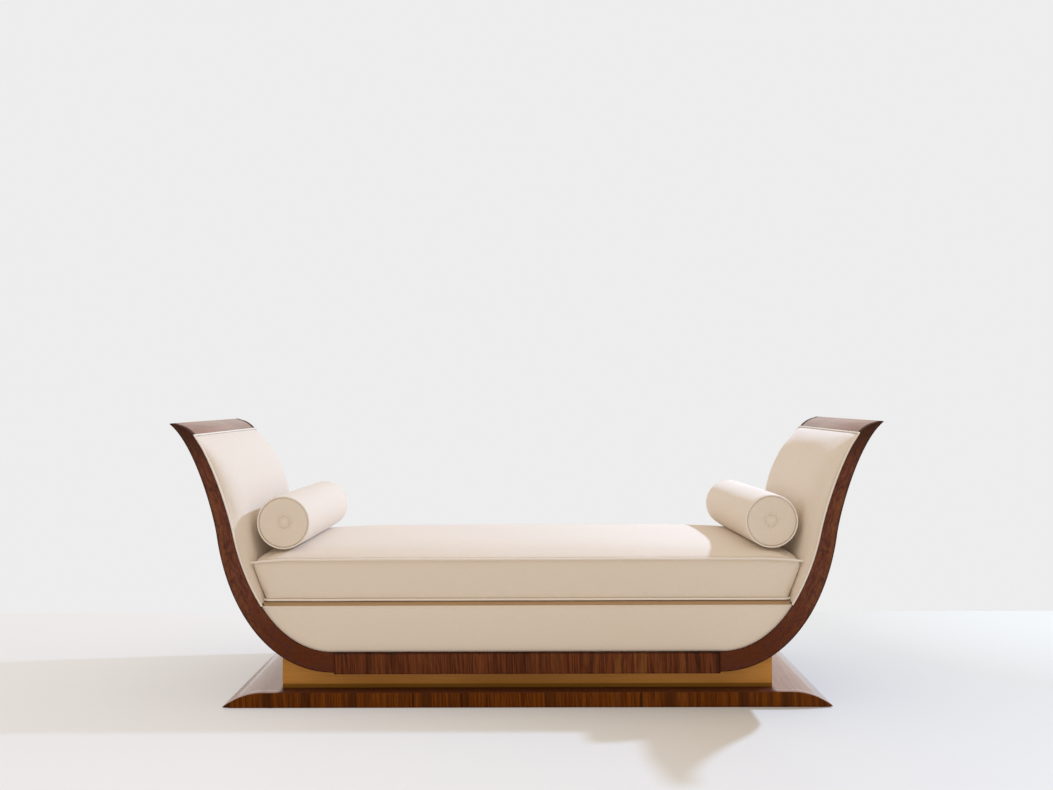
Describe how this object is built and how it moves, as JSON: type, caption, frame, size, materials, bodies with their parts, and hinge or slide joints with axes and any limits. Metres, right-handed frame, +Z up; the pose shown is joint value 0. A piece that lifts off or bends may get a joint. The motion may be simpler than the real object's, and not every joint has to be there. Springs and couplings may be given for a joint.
{
  "type": "recamier",
  "caption": "Backless boat-shaped recamier with curved veneered bands, flared upholstered arms, a loose boxed cushion, round bolsters, a box pedestal and a low plinth.",
  "frame": {"origin": "on the floor, under the centre of the piece", "axes": "+X along the length, to the right seen from the front; +Y from the front to the back; +Z up"},
  "size_m": [2.11, 0.69, 0.8422],
  "materials": {
    "rosewood": "rosewood veneer with a high gloss polish",
    "honey_veneer": "honey-coloured veneer, satin polish",
    "carcass_wood": "plain sawn hardwood and plywood",
    "steel": "zinc-plated bolts",
    "felt": "pressed felt",
    "webbing": "woven jute webbing and twine",
    "foam": "open-cell upholstery foam",
    "cream_cloth": "cream upholstery cloth, fine plain weave"
  },
  "bodies": {
    "frame": {"base_front_rail": "rosewood", "base_back_rail": "rosewood", "base_left_end": "rosewood", "base_right_end": "rosewood", "base_top_panel": "rosewood", "base_ribs": "carcass_wood", "base_bolts": "steel", "floor_glides": "felt", "pedestal_front_panel": "honey_veneer", "pedestal_back_panel": "honey_veneer", "pedestal_left_panel": "honey_veneer", "pedestal_right_panel": "honey_veneer", "pedestal_corner_blocks": "carcass_wood", "pedestal_webs": "carcass_wood", "pedestal_ledgers": "carcass_wood", "front_left_sickle": "rosewood", "front_right_sickle": "rosewood", "back_left_sickle": "rosewood", "back_right_sickle": "rosewood", "front_center_rail": "rosewood", "back_center_rail": "rosewood", "sickle_dowels": "carcass_wood", "left_cap": "rosewood", "right_cap": "rosewood", "left_outer_skin": "rosewood", "right_outer_skin": "rosewood", "bottom_panel": "carcass_wood", "hull_bulkheads": "carcass_wood", "hull_bolts": "steel", "left_arm_battens": "carcass_wood", "right_arm_battens": "carcass_wood", "left_arm_stretchers": "carcass_wood", "right_arm_stretchers": "carcass_wood", "left_arm_webbing": "webbing", "right_arm_webbing": "webbing", "left_arm_pad": "cream_cloth", "right_arm_pad": "cream_cloth", "left_arm_welt": "cream_cloth", "right_arm_welt": "cream_cloth", "seat_long_rails": "carcass_wood", "seat_end_rails": "carcass_wood", "seat_webbing": "webbing", "seat_deck_pad": "cream_cloth", "apron_boards": "carcass_wood", "front_apron_pad": "cream_cloth", "back_apron_pad": "cream_cloth"},
    "seat_cushion": {"cushion_foam": "foam", "cushion_cover": "cream_cloth", "cushion_welts": "cream_cloth"},
    "left_bolster": {"left_bolster_core": "foam", "left_bolster_cover": "cream_cloth", "left_bolster_welts": "cream_cloth", "left_bolster_buttons": "cream_cloth", "left_bolster_twine": "webbing"},
    "right_bolster": {"right_bolster_core": "foam", "right_bolster_cover": "cream_cloth", "right_bolster_welts": "cream_cloth", "right_bolster_buttons": "cream_cloth", "right_bolster_twine": "webbing"}
  },
  "joints": [
    {"name": "cushion_lift", "type": "slide", "parent": "frame", "child": "seat_cushion", "axis": [0, 0, 1], "range_m": [0, 0.6]},
    {"name": "left_bolster_lift", "type": "slide", "parent": "seat_cushion", "child": "left_bolster", "axis": [0, 0, 1], "range_m": [0, 0.45]},
    {"name": "right_bolster_lift", "type": "slide", "parent": "seat_cushion", "child": "right_bolster", "axis": [0, 0, 1], "range_m": [0, 0.45]}
  ]
}
